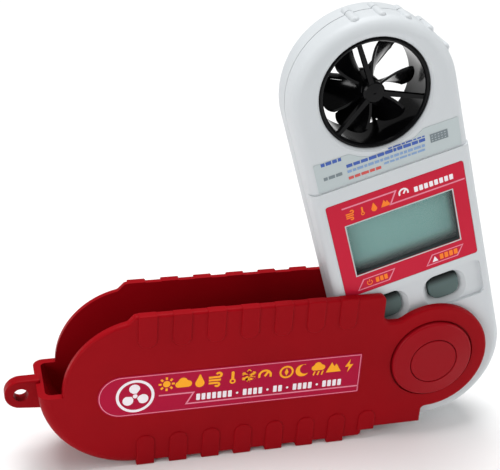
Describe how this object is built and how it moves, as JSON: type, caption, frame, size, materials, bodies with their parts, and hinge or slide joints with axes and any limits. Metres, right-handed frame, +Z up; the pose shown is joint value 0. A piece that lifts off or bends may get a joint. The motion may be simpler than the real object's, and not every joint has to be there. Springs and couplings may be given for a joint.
{
  "type": "handheld weather meter",
  "caption": "Pocket vane anemometer with a display, hinged so that it folds into its own ribbed channel-shaped sheath.",
  "frame": {"origin": "centre of the object's footprint, on the surface that the ribs of its spine stand on", "axes": "+Z up; +X along the sheath from the lanyard eyelet towards the pivot; -Y is the display side"},
  "size_m": [0.1428, 0.023, 0.1277],
  "materials": {
    "red_sheath": "satin moulded",
    "red_hub": "satin moulded",
    "sheath_print": "printed film",
    "white_case": "fine moulded texture",
    "bezel_print": "printed film",
    "foil_print": "satin foil film",
    "clear_window": "clear",
    "lcd_glass": "polarised glass",
    "reflector": "white film",
    "zebra_rubber": "striped",
    "board_green": "solder mask",
    "chip_black": "moulded epoxy",
    "sensor_case": "moulded",
    "tin": "tinned",
    "bead": "epoxy bead",
    "cell_steel": "brushed",
    "seal_rubber": "matt",
    "key_rubber": "matt silicone",
    "black_gloss": "polished",
    "jewel": "polished",
    "shaft_steel": "ground",
    "screw_steel": "zinc plated",
    "brass_nut": "turned",
    "acetal": "smooth"
  },
  "bodies": {
    "sheath": {"sheath_shell": "red_sheath", "sheath_label": "sheath_print", "pivot_hub_front": "red_hub", "pivot_hub_rear": "red_hub", "pivot_plug_front": "red_hub", "pivot_plug_rear": "red_hub", "pivot_screw": "screw_steel", "pivot_nut": "brass_nut", "friction_washers": "screw_steel"},
    "meter": {"meter_front_shell": "white_case", "meter_rear_shell": "white_case", "shell_gasket": "seal_rubber", "shell_screws": "screw_steel", "pivot_bush": "acetal", "bezel_label": "bezel_print", "head_label": "foil_print", "window_lens": "clear_window", "lcd_panel": "lcd_glass", "lcd_reflector": "reflector", "zebra_strips": "zebra_rubber", "main_board": "board_green", "board_parts": "chip_black", "pressure_sensor": "tin", "humidity_sensor": "sensor_case", "thermistor": "bead", "hall_sensor": "chip_black", "dome_switches": "tin", "coin_cell": "cell_steel", "cell_contact_minus": "tin", "cell_contact_plus": "tin", "cartridge_front": "black_gloss", "cartridge_rear": "black_gloss", "bearing_front": "jewel", "bearing_rear": "jewel"},
    "impeller": {"impeller_rotor": "black_gloss", "impeller_shaft": "shaft_steel", "impeller_magnet": "shaft_steel"},
    "battery_hatch": {"battery_door": "white_case", "door_seal": "seal_rubber"},
    "power_key": {"power_button": "key_rubber"},
    "mode_key": {"mode_button": "key_rubber"}
  },
  "joints": [
    {"name": "meter_swing", "type": "hinge", "parent": "sheath", "child": "meter", "pos_m": [0.04895, 0, 0.0262], "axis": [0, 1, 0], "range_deg": [-72.5, 107.5]},
    {"name": "impeller_spin", "type": "hinge", "parent": "meter", "child": "impeller", "pos_m": [0.02351, 0, 0.10688], "axis": [0, 1, 0], "continuous": true},
    {"name": "power_button_press", "type": "slide", "parent": "meter", "child": "power_key", "axis": [0, 1, 0], "range_m": [0, 0.0005], "stiffness_N_per_m": 800},
    {"name": "mode_button_press", "type": "slide", "parent": "meter", "child": "mode_key", "axis": [0, 1, 0], "range_m": [0, 0.0005], "stiffness_N_per_m": 800},
    {"name": "battery_door_turn", "type": "hinge", "parent": "meter", "child": "battery_hatch", "pos_m": [0.03662, 0.0065, 0.0653], "axis": [0, 1, 0], "range_deg": [0, 30]}
  ]
}
